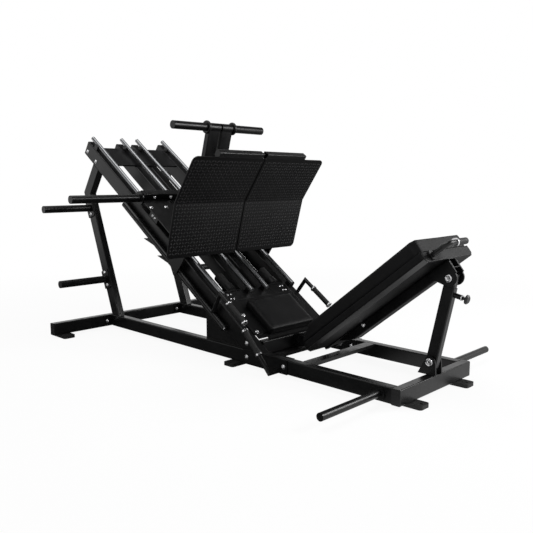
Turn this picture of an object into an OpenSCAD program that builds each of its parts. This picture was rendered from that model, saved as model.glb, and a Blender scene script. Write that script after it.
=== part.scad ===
// Leg press with two carriages that run apart on inclined guide rods.
// Millimetres. X runs from the high end of the rails to the backrest, Y across, Z up.

/* [Base] */
// Length of the base in front of the rear cross tube
base_l = 2400; // [2390:5:2420]
// Width over the two base side tubes
base_w = 660; // [650:5:680]
// Height of the base tubes
base_tube_h = 80; // [74:1:86]
// Width of the base tubes
base_tube_w = 50; // [46:1:54]
// Wall of the steel tubes
tube_wall = 3; // [2:0.5:4]
// Corner radius of the steel tubes
tube_corner = 6; // [5:0.5:8]
// Length of the rear cross tube
rear_cross_l = 1534; // [1480:10:1560]
// Height of the rubber feet
foot_h = 20; // [16:1:24]
// Length of a rubber foot
foot_l = 180; // [160:5:190]
// Width of a rubber foot
foot_w = 80; // [70:5:90]
// Distance of the base splice from the rear cross tube
splice_x = 1535; // [1525:5:1545]
// Length of a splice plate
splice_l = 334; // [320:2:340]

/* [Rails] */
// Slope of the rails
rail_angle = 35; // [34:0.5:36]
// Depth of a rail
rail_h = 100; // [90:2:104]
// Width of a rail
rail_w = 55; // [50:1:60]
// Height of the rails' underside square to the slope
rail_n = 851; // [846:1:860]
// Reach of the rails up the slope
rail_top = 944; // [930:2:960]
// Diameter of a guide rod
rod_d = 28; // [24:1:30]
// Height of the rod centre over the rail
rod_lift = 30; // [29:0.5:33]
// Half the distance between the two inner rods
rod_inner_y = 66.5; // [62:0.5:72]
// Width of a centre rail
center_w = 60; // [50:2:64]
// Length of the upright's head square to the rail
upright_head_l = 224; // [210:2:236]
// Where the upright meets the rail, up the slope
upright_top = 774; // [760:2:786]

/* [Carriages] */
// Thickness of the carriage deck
deck_t = 8; // [6:1:10]
// Height of a bearing block
block_h = 44; // [42:0.5:45]
// Outer diameter of a linear bushing
bushing_d = 38; // [36:0.5:39]
// Width of a foot plate
plate_w = 542; // [500:2:560]
// Length of the foot plate's upper part
plate_upper_l = 316; // [300:2:330]
// Length of the foot plate's lower part
plate_lower_l = 333; // [310:1:338]
// Angle between the two parts of a foot plate
plate_bend = 20; // [16:1:22]
// Thickness of the foot plate sheet
plate_t = 6; // [5:0.5:8]
// Diameter of the weight horns
horn_d = 50; // [48:0.5:51]
// Length of a side horn
side_horn_l = 488; // [440:4:500]
// Reach of a top horn from the middle
top_horn_reach = 374; // [340:2:400]

/* [Backrest] */
// Slope of the backrest
back_angle = 38.3; // [37.5:0.1:39]
// Length of the backrest above its pivot
back_l = 846; // [836:2:856]
// Half width of the backrest
back_half_w = 226; // [216:2:236]
// Thickness of the backrest foam
foam_t = 70; // [60:2:76]
// Thickness of the padded backrest base
board_t = 56; // [50:1:60]
// Width of the backrest tube
back_tube_w = 60; // [56:1:64]
// Depth of the backrest tube
back_tube_h = 50; // [46:1:54]
// Distance of the lower end of the backrest tube's line from the rear cross tube
back_x = 1800; // [1795:1:1805]
// Height of the lower end of the backrest tube's line
back_z = 138; // [136:1:141]
// Depth of the strut's outer tube
strut_w = 60; // [56:1:64]
// Width of the strut's outer tube
strut_y = 40; // [37:1:43]
// Height of the strut's lower pivot
strut_foot_z = 165; // [160:1:170]

/* [Seat] */
// Length of the seat pad along the slope
seat_l = 250; // [236:2:256]
// Width of the seat pad
seat_w = 372; // [352:4:392]
// Thickness of the seat pad
seat_t = 42; // [38:1:46]

/* [Handles] */
// Diameter of the handle bars
bar_d = 25; // [22:0.5:27]
// Diameter of the hand grips
grip_d = 32; // [30:0.5:34]
// Diameter of the bright grip collars
collar_d = 39; // [36:0.5:42]
// Diameter of the lock tube
lock_tube_d = 38; // [34:1:40]

/* [Hidden] */
$fn = 48;
x_mid = 1118.1;
seat_gap = 0.3;
fit = 0.05;
weld = 1;
steel = [0.09, 0.09, 0.095];
rod_color = [0.62, 0.63, 0.65];
bright = [0.8, 0.8, 0.82];
rubber = [0.05, 0.05, 0.05];
vinyl = [0.07, 0.07, 0.075];
far = 4000;
base_top = foot_h + base_tube_h;
base_mid = foot_h + base_tube_h / 2;
side_y = base_w / 2 - base_tube_w / 2;
inner_y = base_w / 2 - base_tube_w;
corner_r = max(tube_corner, tube_wall + 1);
splice_t = 6;
tie_t = 20;
tie_l = 60;
cap_t = 4;
foot_corner = 16;
foot_hole_d = 14;
rear_flange_l = 156;
rear_flange_h = 70;
rear_foot_y = rear_cross_l / 2 - 75;
mid_foot_x = 1301;
front_foot_y = 222;
rail_y = base_w / 2 - rail_w / 2;
rail_in_y = base_w / 2 - rail_w;
rail_face = base_w / 2;
rail_up = rail_n + rail_h;
rail_low = (rail_up * cos(rail_angle) - base_top) / sin(rail_angle) + 20;
rod_n = rail_up + rod_lift;
rod_low = 735;
rod_ys = [-rail_y, -rod_inner_y, rod_inner_y, rail_y];
cross_t = 10;
cross_l = 215;
cross_d = -870;
center_h = 90;
center_n = rail_up - cross_t - center_h;
low_tube = 80;
low_d = 690;
saddle_l = 36;
saddle_w = 44;
saddle_ds = [-850, rod_low - saddle_l / 2];
knee = [(rail_n - upright_head_l) * sin(rail_angle) - upright_top * cos(rail_angle),
        (rail_n - upright_head_l) * cos(rail_angle) + upright_top * sin(rail_angle)];
upright_foot_x = 50;
upright_tube = 80;
cut_over = 80;
upright_lean = atan2(knee[0] - upright_foot_x, knee[1] - base_top);
knee_cut = (upright_lean + rail_angle) / 2;
upright_l = norm([knee[0] - upright_foot_x, knee[1] - base_top]);
storage_zs = [351, 849];
storage_l = 362;
flange_t = 8;
flange_l = 130;
flange_w = 78;
horn_wall = 4;
peg_d = 38;
peg_l = 435;
peg_x = 2282;
peg_z = base_mid;
gusset_t = 8;
gusset_x = 1018;
bumper_l = 145;
bumper_d = 60;
bumper_n = 944;
bumper_plate_t = 8;
bumper_plate_w = 140;
bumper_plate_h = 80;
bumper_cup_l = 40;
bumper_cup_t = 5;
sheet_t = 5;
bumper_y = (rail_in_y + rod_inner_y + center_w / 2) / 2;
block_n = rod_n - block_h / 2;
deck_n = block_n + block_h;
deck_top = deck_n + deck_t;
deck_out = 350;
deck_in = 12;
deck_up = -215;
deck_low = 330;
block_w = 70;
block_l = 90;
block_ds = [-20, 250];
beam_l = 50;
beam_h = 42;
post_w = 90;
post_l = 40;
post_d = -150;
post_in = 8;
post_lean = 19;
boss_d = 56;
boss_l = post_w + 2 * weld;
bar_l = top_horn_reach - post_in + weld;
top_horn_n = 1591;
ring_d = 82;
ring_l = 17;
ring_round = 7;
side_horn_n = 1006;
side_horn_d = deck_up + beam_l / 2;
horn_flange_d = 90;
horn_flange_t = 10;
stay = 40;
stay_d = 316;
stay_ys = [95, 290];
bar_n = 1645;
bar_out = 360;
bar_in = 15;
bend_n = 1343;
plate_corner = 32;
plate_corner_in = 10;
plate_over = 20;
plate_in = 4;
catch_t = 6;
catch_y = 375;
catch_tab = [270, 405];
catch_side = 56;
catch_drop = 171;
back_m = back_tube_h / 2;
board_top = back_m + board_t;
foam_top = board_top + foam_t;
foam_nose = -42;
foam_flat = 52;
board_low = -53;
board_round = 20;
pivot_at = [-72, 58];
pivot_world = [back_x + pivot_at[0] * cos(back_angle) - pivot_at[1] * sin(back_angle),
               back_z + pivot_at[0] * sin(back_angle) + pivot_at[1] * cos(back_angle)];
pivot_d = 14;
knuckle_r = 13;
knuckle_in = 24;
knuckle_out = 58;
arm_step = 12;
strap_t = 6;
strap_end = board_low - 3;
strap_in = -20;
tube_low = 133;
taper_low = 20;
lug_t = 8;
lug_gap = 4;
lug_r = 24;
bush_wall = 8;
head_from_end = 49;
head_x = back_l - head_from_end;
head_z = -53;
head_r = 42;
strut_foot_x = 2370;
head_world = [back_x + head_x * cos(back_angle) - head_z * sin(back_angle),
              back_z + head_x * sin(back_angle) + head_z * cos(back_angle)];
strut_v = [head_world[0] - strut_foot_x, head_world[1] - strut_foot_z];
strut_len = norm(strut_v);
strut_lean = atan2(strut_v[0], strut_v[1]);
strut_pin_d = 16;
strut_head_room = 48.4;
strut_top = strut_len - strut_head_room;
strut_bottom = -28;
inner_bottom = 125;
inner_over = 20;
inner_x = strut_w - 2 * tube_wall - 2 * seat_gap;
inner_yw = strut_y - 2 * tube_wall - 2 * seat_gap;
eye_play = 3;
mitre_gap = 4;
foot_lug_y = strut_y / 2 + lug_gap;
pop_below = 32;
pop_z = strut_top - pop_below;
pop_d = 12;
pop_step = 25.5;
pop_house_d = 25;
pop_house_l = 44;
neck_d = 15;
neck_l = 12;
knob_d = 46;
knob_l = 18;
lock_y = rail_face + 24;
lock_n = 868;
lock_up = -300;
lock_low = 880;
lock_lug_t = 12;
lock_pin_d = 16;
lock_pin_in = 40;
hook_t = 16;
hook_ds = [37, 214];
hook_reach = 48;
hook_l = 125;
handle_d = 766;
handle_n = 1028;
handle_y = 370;
ring_from_leg = 81;
ring_span = 156;
ring_a = handle_d + ring_from_leg;
ring_b = ring_a + ring_span;
collar_l = 10;
bend_r = 32;
grab_corner = [1634, -400, 30];
grab_top = [1446, -400, 232];
grab_d_at = 113;
grab_c_at = 268;
adjust_y = -150;
adjust_out = 99;
adjust_m = 54.7;
adjust_end = 13;
adjust_ring = -86;
seat_d = 828;
seat_plate_d = 872;
seat_plate_l = 178;
seat_plate_lap = 10;
seat_cross_w = 50;
seat_cross_h = 80;
seat_post_top = 150;
seat_plate_t = 6;
seat_tube = 50;
seat_post_x = 1487;
seat_post_w = 40;
seat_tie_top = 70;
bolt_r = 9;
bolt_h = 6;
washer_r = 13;
washer_t = 2.5;

// Moves the working frame so that the origin is under the middle of the machine.
module machine() translate([-x_mid, 0, 0]) children();

// Frame on the rails: x runs down the slope and z is square to it.
module on_rail() machine() rotate([0, rail_angle, 0]) children();

// Frame on the backrest: origin low on its tube's line, x up the backrest and z out of the pad.
module on_back() machine() translate([back_x, 0, back_z]) rotate([0, -back_angle, 0]) children();

// Frame on the strut: origin at its lower pivot and z up the strut.
module on_strut() machine() translate([strut_foot_x, 0, strut_foot_z]) rotate([0, strut_lean, 0]) children();

module other_side() mirror([0, 1, 0]) children();

module both_sides() {
  children();
  other_side() children();
}

module rounded_rect(w, h, r) {
  square([w - 2 * r, h], center = true);
  square([w, h - 2 * r], center = true);
  for (x = [-1, 1], y = [-1, 1]) translate([x * (w / 2 - r), y * (h / 2 - r)]) circle(r);
}

module tube_section(w, h) difference() {
  rounded_rect(w, h, corner_r);
  rounded_rect(w - 2 * tube_wall, h - 2 * tube_wall, corner_r - tube_wall);
}

module tube_x(l, w, h) rotate([90, 0, 90]) linear_extrude(l) tube_section(w, h);
module tube_y(l, w, h) rotate([-90, 0, 0]) linear_extrude(l) tube_section(w, h);
module tube_z(l, w, h) linear_extrude(l) tube_section(w, h);
module round_y(l, d) rotate([-90, 0, 0]) cylinder(h = l, d = d);
module round_x(l, d) rotate([0, 90, 0]) cylinder(h = l, d = d);

// Flat plate drawn in the x z plane and t thick along y.
module plate_xz(t) translate([0, t, 0]) rotate([90, 0, 0]) linear_extrude(t) children();

// Quarter bend in the x y plane about the origin, from the x axis to the y axis.
module quarter_bend() rotate_extrude(angle = 90) translate([bend_r, 0]) circle(d = bar_d);

// Ring on a straight line from a to b, starting at distance s.
module ring_on(a, b, s, l, d, bore) {
  v = b - a;
  translate(a) rotate([0, acos(v[2] / norm(v)), atan2(v[1], v[0])]) translate([0, 0, s])
    difference() {
      cylinder(h = l, d = d);
      translate([0, 0, -1]) cylinder(h = l + 2, d = bore);
    }
}

module rear_cross_tube() color(steel) machine()
  translate([-base_tube_w / 2, -rear_cross_l / 2, base_mid])
    tube_y(rear_cross_l, base_tube_w, base_tube_h);

module base_rear_tubes() color(steel) both_sides() machine()
  translate([splice_t, -side_y, base_mid]) tube_x(splice_x - 1 - splice_t, base_tube_w, base_tube_h);

module base_front_tubes() color(steel) both_sides() machine()
  translate([splice_x + 1, -side_y, base_mid])
    tube_x(base_l - base_tube_w - splice_x - 1, base_tube_w, base_tube_h);

module front_cross_tube() color(steel) machine()
  translate([base_l - base_tube_w / 2, -base_w / 2, base_mid])
    tube_y(base_w, base_tube_w, base_tube_h);

module base_cross_ties() color(steel) machine() {
  translate([back_x - tie_l / 2, -inner_y, base_top - tie_t]) cube([tie_l, 2 * inner_y, tie_t]);
  translate([seat_post_x - tie_l / 2, -inner_y + splice_t, seat_tie_top - tie_t])
    cube([tie_l, 2 * (inner_y - splice_t), tie_t]);
}

module splice_plate(y) translate([splice_x - splice_l / 2, y, foot_h])
  cube([splice_l, splice_t, base_tube_h]);

module rail_gusset() {
  rise = (rail_n - gusset_x * sin(rail_angle)) / cos(rail_angle);
  toe = (rail_n - base_top * cos(rail_angle)) / sin(rail_angle);
  translate([0, -side_y - gusset_t / 2, 0]) plate_xz(gusset_t)
    polygon([[gusset_x, base_top], [toe, base_top], [gusset_x, rise]]);
}

module frame_plates() color(steel) both_sides() machine() {
  splice_plate(-base_w / 2 - splice_t);
  splice_plate(-inner_y);
  rail_gusset();
  translate([0, -side_y - rear_flange_l / 2, base_mid - rear_flange_h / 2])
    cube([splice_t, rear_flange_l, rear_flange_h]);
}

// Rubber foot with a screw hole in each end.
module foot_pad() linear_extrude(foot_h) difference() {
  rounded_rect(foot_l, foot_w, foot_corner);
  for (x = [-1, 1]) translate([x * (foot_l / 2 - foot_corner - foot_hole_d / 2), 0]) circle(d = foot_hole_d);
}

module floor_feet() color(rubber) both_sides() machine() {
  translate([-base_tube_w / 2, -rear_foot_y, 0]) foot_pad();
  translate([mid_foot_x, -side_y, 0]) rotate([0, 0, 90]) foot_pad();
  translate([base_l - base_tube_w / 2, -front_foot_y, 0]) foot_pad();
}

// Large block that fills the space above its origin, used for square and mitre cuts.
module above() translate([-far / 2, -far / 2, 0]) cube(far);
module below() translate([-far / 2, -far / 2, -far]) cube(far);

module upright() {
  difference() {
    translate([upright_foot_x, -side_y, base_top]) rotate([0, upright_lean, 0])
      translate([0, 0, -cut_over]) tube_z(upright_l + 2 * cut_over, upright_tube, base_tube_w);
    translate([0, 0, base_top]) below();
    translate([knee[0], 0, knee[1]]) rotate([0, knee_cut, 0]) above();
  }
  difference() {
    translate([knee[0], -side_y, knee[1]]) rotate([0, rail_angle, 0])
      translate([0, 0, -cut_over]) tube_z(upright_head_l + cut_over, upright_tube, base_tube_w);
    translate([knee[0], 0, knee[1]]) rotate([0, knee_cut, 0]) below();
  }
}

module left_rear_upright() color(steel) machine() upright();
module right_rear_upright() color(steel) other_side() machine() upright();

module rail() difference() {
  on_rail() translate([-rail_top, -rail_y, rail_n + rail_h / 2])
    tube_x(rail_top + rail_low, rail_w, rail_h);
  translate([0, 0, base_top]) below();
}

module left_rail() color(steel) rail();
module right_rail() color(steel) other_side() rail();

module top_cross_plate() color(steel) on_rail()
  translate([cross_d, -rail_in_y, rail_up - cross_t]) cube([cross_l, 2 * rail_in_y, cross_t]);

module center_rails() color(steel) both_sides() on_rail()
  translate([-rail_top, -rod_inner_y, center_n + center_h / 2])
    tube_x(rail_top + low_d, center_w, center_h);

module lower_cross_tube() color(steel) on_rail()
  translate([low_d + low_tube / 2, -rail_in_y, rail_up - low_tube / 2])
    tube_y(2 * rail_in_y, low_tube, low_tube);

module guide_rods() color(rod_color) on_rail() for (y = rod_ys)
  translate([-rail_top, y, rod_n]) round_x(rail_top + rod_low, rod_d);

// Low blocks that the rods rest in, up to the middle of each rod.
module rod_saddles() color(steel) on_rail() for (y = rod_ys, d = saddle_ds) difference() {
  translate([d - saddle_l / 2, y - saddle_w / 2, rail_up]) cube([saddle_l, saddle_w, rod_lift]);
  translate([d - saddle_l, y, rod_n]) round_x(2 * saddle_l, rod_d + 2 * fit);
}

// Flange plate with a short steel cup that holds the rubber bumper.
module bumper_bracket() translate([low_d - bumper_plate_t, -bumper_y, bumper_n]) {
  translate([0, -bumper_plate_w / 2, rail_up - bumper_n - bumper_plate_h])
    cube([bumper_plate_t, bumper_plate_w, bumper_plate_h]);
  translate([-bumper_cup_l, 0, 0]) difference() {
    round_x(bumper_cup_l + weld, bumper_d + 2 * bumper_cup_t);
    translate([-weld, 0, 0]) round_x(bumper_cup_l + weld, bumper_d + 2 * fit);
  }
}

module bumper_brackets() color(steel) both_sides() on_rail() bumper_bracket();

module rubber_bumpers() color(rubber) both_sides() on_rail()
  translate([low_d - bumper_l, -bumper_y, bumper_n]) {
    round_x(bumper_l - bumper_plate_t, bumper_d - 2 * bumper_cup_t);
    translate([bumper_cup_t, 0, 0]) round_x(bumper_l - bumper_plate_t - bumper_cup_t, bumper_d);
  }

// Hollow weight horn along y with a closed outer end.
module horn(l) difference() {
  translate([0, -l, 0]) round_y(l, horn_d);
  translate([0, horn_wall - l, 0]) round_y(l, horn_d - 2 * horn_wall);
}

module storage_horn(z) translate([upright_foot_x + (z - base_top) * tan(upright_lean), -base_w / 2, z]) {
  rotate([0, upright_lean, 0]) rotate([90, 0, 0])
    linear_extrude(flange_t) rounded_rect(flange_w, flange_l, corner_r);
  translate([0, -flange_t, 0]) horn(storage_l - flange_t);
}

module storage_horns() color(steel) both_sides() machine() for (z = storage_zs) storage_horn(z);

module side_pegs() color(steel) both_sides() machine() translate([peg_x, -base_w / 2, peg_z]) {
  translate([0, -flange_t, 0]) round_y(flange_t, peg_d + 30);
  difference() {
    translate([0, -peg_l, 0]) round_y(peg_l - 1, peg_d);
    translate([0, horn_wall - peg_l, 0]) round_y(peg_l, peg_d - 2 * horn_wall);
  }
}

module cap(w, h) linear_extrude(cap_t) rounded_rect(w, h, corner_r);

module tube_end_caps() color(rubber) both_sides() {
  machine() translate([-base_tube_w / 2, -rear_cross_l / 2, base_mid]) rotate([90, 0, 0])
    cap(base_tube_w, base_tube_h);
  machine() translate([base_l - base_tube_w / 2, -base_w / 2, base_mid]) rotate([90, 0, 0])
    cap(base_tube_w, base_tube_h);
  on_rail() translate([-rail_top, -rail_y, rail_n + rail_h / 2]) rotate([0, -90, 0])
    cap(rail_h, rail_w);
  on_rail() translate([-rail_top, -rod_inner_y, center_n + center_h / 2]) rotate([0, -90, 0])
    cap(center_h, center_w);
}

// Seat plate across the rails on a square tube, with a deep cross tube and a post below it.
module seat_frame() color(steel) {
  on_rail() translate([seat_d + seat_l / 2, -rail_in_y, rail_up - seat_tube / 2])
    tube_y(2 * rail_in_y, seat_tube, seat_tube);
  on_rail() translate([seat_plate_d, -rail_in_y - seat_plate_lap, rail_up])
    cube([seat_plate_l, 2 * (rail_in_y + seat_plate_lap), seat_plate_t]);
  machine() translate([seat_post_x + weld - (seat_post_w + seat_cross_w) / 2, splice_t - inner_y,
                       seat_post_top - seat_cross_h / 2])
    tube_y(2 * (inner_y - splice_t), seat_cross_w, seat_cross_h);
  machine() translate([seat_post_x, 0, seat_tie_top])
    tube_z(seat_post_top - seat_tie_top, seat_post_w, seat_post_w);
}

// Cushion with a soft edge, a low crown and sides that draw in towards its base.
module cushion(l, w, h, r, crown) hull() {
  for (x = [-1, 1], y = [-1, 1]) {
    translate([x * (l / 2 - r), y * (w / 2 - r), h - r - crown]) sphere(r, $fn = 24);
    translate([x * (l / 2 - r - 5), y * (w / 2 - r - 5), 0]) cylinder(r = r, h = 4, $fn = 24);
  }
  translate([0, 0, h - crown - 4]) scale([l * 0.46, w * 0.46, crown + 4]) sphere(1, $fn = 32);
}

module seat_pad() color(vinyl) on_rail()
  translate([seat_d + seat_l / 2, 0, rail_up + seat_plate_t]) cushion(seat_l, seat_w, seat_t, 15, 6);

// Arm from the seat post to the backrest hinge, with the hinge's middle knuckle.
module hinge_arm() {
  front = seat_post_x + seat_post_w / 2;
  difference() {
    union() {
      for (y = [-seat_post_w / 2, seat_post_w / 2 - lug_t]) translate([0, y, 0]) plate_xz(lug_t)
        polygon([[front, seat_tie_top + arm_step], [front, seat_post_top], pivot_world + [-4, arm_step],
                 pivot_world - [4, arm_step]]);
      translate([pivot_world[0], -knuckle_in, pivot_world[1]]) round_y(2 * knuckle_in, 2 * knuckle_r);
    }
    translate([pivot_world[0], -far / 2, pivot_world[1]]) round_y(far, pivot_d + 2 * fit);
  }
}

module strut_lug(y) translate([strut_foot_x, y, 0]) difference() {
  plate_xz(lug_t) {
    translate([0, strut_foot_z]) circle(lug_r + 5);
    polygon([[-65, base_top], [35, base_top], [31, strut_foot_z], [-31, strut_foot_z]]);
  }
  translate([0, -1, strut_foot_z]) round_y(lug_t + 2, strut_pin_d + 2 * fit);
}

module pivot_brackets() color(steel) {
  machine() hinge_arm();
  both_sides() machine() strut_lug(-foot_lug_y - lug_t);
}

// Headed pin across the machine, centred on the middle plane.
module cross_pin(half, d) {
  translate([0, -half, 0]) round_y(2 * half, d);
  for (y = [-half - bolt_h, half]) translate([0, y, 0]) round_y(bolt_h, 1.7 * d);
}

module hinge_pins() color(bright) {
  machine() translate([pivot_world[0], 0, pivot_world[1]]) cross_pin(knuckle_out + seat_gap, pivot_d);
  machine() translate([strut_foot_x, 0, strut_foot_z]) cross_pin(foot_lug_y + lug_t, strut_pin_d);
  both_sides() on_rail() {
    translate([lock_up - lock_lug_t, -lock_y, lock_n]) lock_pin();
    translate([lock_low + lock_lug_t, -lock_y, lock_n]) mirror([1, 0, 0]) lock_pin();
  }
}

module lock_pin() {
  round_x(lock_lug_t + lock_pin_in, lock_pin_d);
  translate([-bolt_h - seat_gap, 0, 0]) round_x(bolt_h, 1.6 * lock_pin_d);
  translate([-seat_gap, 0, 0]) round_x(seat_gap, lock_pin_d);
}

module lock_lug(d) translate([d, 0, 0]) difference() {
  union() {
    translate([0, -lock_y, lock_n - lock_tube_d / 2]) cube([lock_lug_t, lock_y - rail_face, lock_tube_d]);
    translate([0, -lock_y, lock_n]) round_x(lock_lug_t, lock_tube_d);
  }
  translate([-1, -lock_y, lock_n]) round_x(lock_lug_t + 2, lock_pin_d + 2 * fit);
}

module lock_tube_lugs() color(steel) both_sides() on_rail() {
  lock_lug(lock_up - lock_lug_t);
  lock_lug(lock_low);
}

// Handle with a leg along y and a mitred corner to a straight bar.
module grab_handle() {
  v = grab_top - grab_corner;
  leg = -grab_corner[1] - base_w / 2 - splice_t;
  translate(grab_corner) rotate([0, atan2(v[0], v[2]), 0]) {
    difference() {
      translate([0, -bar_d, 0]) round_y(leg + bar_d, bar_d);
      rotate([45, 0, 0]) above();
    }
    difference() {
      translate([0, 0, -bar_d]) cylinder(h = norm(v) + bar_d, d = bar_d);
      rotate([45, 0, 0]) below();
    }
  }
}

module grab_handles() color(steel) both_sides() machine() grab_handle();

module grab_handle_grips() color(rubber) both_sides() machine()
  ring_on(grab_corner, grab_top, grab_d_at + collar_l, grab_c_at - grab_d_at - collar_l,
          grip_d, bar_d + 2 * fit);

module grab_handle_collars() color(bright) both_sides() machine() for (s = [grab_d_at, grab_c_at])
  ring_on(grab_corner, grab_top, s, collar_l, collar_d, bar_d + 2 * fit);

// Bolt head and washer standing on a face that looks along negative y.
module bolt_head() {
  translate([0, -washer_t, 0]) round_y(washer_t, 2 * washer_r);
  translate([0, -washer_t - bolt_h, 0]) round_y(bolt_h, 2 * bolt_r);
}

rail_bolts = [[-918, 887], [-791, 886], [1061, 909]];
splice_bolts = [-139, 141];
flange_bolt = 46;

module frame_bolts() color(bright) both_sides() {
  on_rail() for (p = rail_bolts) translate([p[0], -rail_face, p[1]]) bolt_head();
  machine() for (x = splice_bolts) translate([splice_x + x, -base_w / 2 - splice_t, base_mid])
    bolt_head();
  machine() for (z = storage_zs, k = [-1, 1])
    translate([upright_foot_x + (z - base_top) * tan(upright_lean), -base_w / 2 - flange_t, z])
      rotate([0, upright_lean, 0]) translate([0, 0, k * flange_bolt]) bolt_head();
}

// Hinge strap that goes round the lower end of the padded base to a knuckle.
module hinge_strap(y) translate([0, y, 0]) {
  w = knuckle_out - knuckle_in - lug_gap;
  low = back_m - strap_t;
  plate_xz(w) polygon([[strap_in, low], [strap_in, back_m], [strap_end, back_m], [strap_end, pivot_at[1]],
                       [strap_end - strap_t, pivot_at[1]], [strap_end - strap_t, low]]);
  translate([pivot_at[0], 0, pivot_at[1]]) round_y(w, 2 * knuckle_r);
}

// Tube under the padded base, tapered at its foot into a plate with two hinge straps.
module backrest_frame() color(steel) on_back() difference() {
  union() {
    translate([tube_low, 0, 0]) tube_x(back_l - tube_low, back_tube_w, back_tube_h);
    for (y = [-back_tube_w / 2, back_tube_w / 2 - strap_t]) translate([0, y, 0]) plate_xz(strap_t)
      polygon([[tube_low + weld, -back_m], [tube_low + weld, back_m - weld], [taper_low, back_m - weld]]);
    translate([strap_in - weld, -knuckle_out, back_m - strap_t])
      cube([tube_low - strap_in + 2 * weld, 2 * knuckle_out, strap_t]);
    hinge_strap(-knuckle_out);
    hinge_strap(knuckle_in + lug_gap);
  }
  translate([pivot_at[0], -far / 2, pivot_at[1]]) round_y(far, pivot_d + 2 * fit);
}

// Padded base with soft lower edges, its sides in line with the foam above.
module backrest_board() color(vinyl) on_back() hull() {
  r = board_round;
  for (x = [board_low + r, back_l - r], y = [-1, 1]) {
    translate([x, y * (back_half_w - r), back_m + r]) sphere(r, $fn = 32);
    translate([x, y * (back_half_w - r), board_top - 4]) cylinder(r = r, h = 4, $fn = 32);
  }
}

module backrest_pad() color(vinyl) on_back() hull() {
  r = 18;
  y = back_half_w - r;
  for (k = [-1, 1]) {
    translate([back_l - r, k * y, foam_top - r - 6]) sphere(r, $fn = 24);
    translate([foam_flat, k * y, foam_top - r - 6]) sphere(r, $fn = 24);
    translate([foam_nose + r, k * y, board_top + r]) sphere(r, $fn = 24);
    translate([back_l - r, k * y, board_top]) cylinder(r = r, h = 4, $fn = 24);
    translate([foam_nose + r, k * y, board_top]) cylinder(r = r, h = 4, $fn = 24);
  }
  translate([(back_l + foam_flat) / 2, 0, foam_top - 10])
    scale([(back_l - foam_flat) * 0.47, back_half_w * 0.92, 10]) sphere(1, $fn = 32);
}

module head_plate() translate([0, -back_tube_w / 2 - lug_t, 0]) difference() {
  plate_xz(lug_t) {
    translate([head_x, head_z]) circle(head_r);
    polygon([[head_x - 95, 12], [back_l, 12], [back_l, head_z], [head_x + head_r, head_z],
             [head_x - 35, head_z - 23]]);
  }
  translate([head_x, -1, head_z]) round_y(lug_t + 2, strut_pin_d + 2 * fit);
}

module strut_head_clevis() color(steel) both_sides() on_back() head_plate();

module strut_head_pin() color(bright) on_back() translate([head_x, 0, head_z])
  cross_pin(back_tube_w / 2 + lug_t, strut_pin_d);

module adjust_handle() color(steel) on_back() {
  reach = back_l + adjust_out;
  translate([back_l, adjust_y, adjust_m]) round_x(splice_t, 2 * bar_d);
  translate([back_l, adjust_y, adjust_m]) round_x(adjust_out - bend_r, bar_d);
  translate([reach - bend_r, adjust_y + bend_r, adjust_m]) rotate([0, 0, -90]) quarter_bend();
  translate([reach, adjust_y + bend_r, adjust_m]) round_y(adjust_end - adjust_y - bend_r, bar_d);
}

module adjust_grip() color(rubber) on_back()
  translate([back_l + adjust_out, adjust_ring + collar_l, adjust_m])
  difference() {
    round_y(adjust_end + 4 - adjust_ring - collar_l, grip_d);
    translate([0, -1, 0]) round_y(adjust_end + 1 + fit - adjust_ring - collar_l, bar_d + 2 * fit);
  }

module adjust_collar() color(bright) on_back() translate([back_l + adjust_out, adjust_ring, adjust_m])
  difference() {
    round_y(collar_l, collar_d);
    translate([0, -1, 0]) round_y(collar_l + 2, bar_d + 2 * fit);
  }

module strut_outer_tube() color(steel) on_strut() difference() {
  union() {
    translate([0, 0, strut_bottom]) tube_z(strut_top - strut_bottom, strut_w, strut_y);
    translate([0, -strut_y / 2, 0]) round_y(strut_y, strut_pin_d + 2 * bush_wall);
  }
  translate([0, -strut_y, 0]) round_y(2 * strut_y, strut_pin_d + 2 * fit);
  translate([0, 0, pop_z]) round_x(strut_w, pop_d + 2 * fit);
}

module strut_inner_tube() color(steel) on_strut() difference() {
  translate([0, 0, inner_bottom])
    tube_z(strut_len + inner_over - inner_bottom, inner_x, inner_yw);
  translate([0, -strut_y, strut_len]) round_y(2 * strut_y, strut_pin_d + 2 * eye_play);
  for (k = [0:4]) translate([0, 0, pop_z - k * pop_step]) round_x(strut_w, pop_d + 1);
  translate([0, 0, strut_len]) rotate([0, -back_angle - strut_lean, 0])
    translate([0, 0, -head_z - back_m - mitre_gap]) above();
}

module pop_pin_housing() color(steel) on_strut() translate([strut_w / 2, 0, pop_z]) difference() {
  round_x(pop_house_l, pop_house_d);
  translate([-1, 0, 0]) round_x(pop_house_l + 2, pop_d + 2 * fit);
}

// Spring pin with a thin neck and a round knob shaped like a mushroom.
module pop_pin() color(rubber) on_strut() translate([strut_w / 2, 0, pop_z]) {
  translate([-tube_wall, 0, 0]) round_x(tube_wall + pop_house_l + 10, pop_d);
  translate([pop_house_l + seat_gap, 0, 0]) round_x(neck_l, neck_d);
  translate([pop_house_l + neck_l, 0, 0]) rotate([0, 90, 0]) {
    cylinder(h = knob_l / 3, d1 = neck_d + 4, d2 = knob_d);
    translate([0, 0, knob_l / 3]) cylinder(h = knob_l / 3, d = knob_d);
    translate([0, 0, 2 * knob_l / 3]) cylinder(h = knob_l / 3, d1 = knob_d, d2 = knob_d * 0.7);
  }
}

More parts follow.
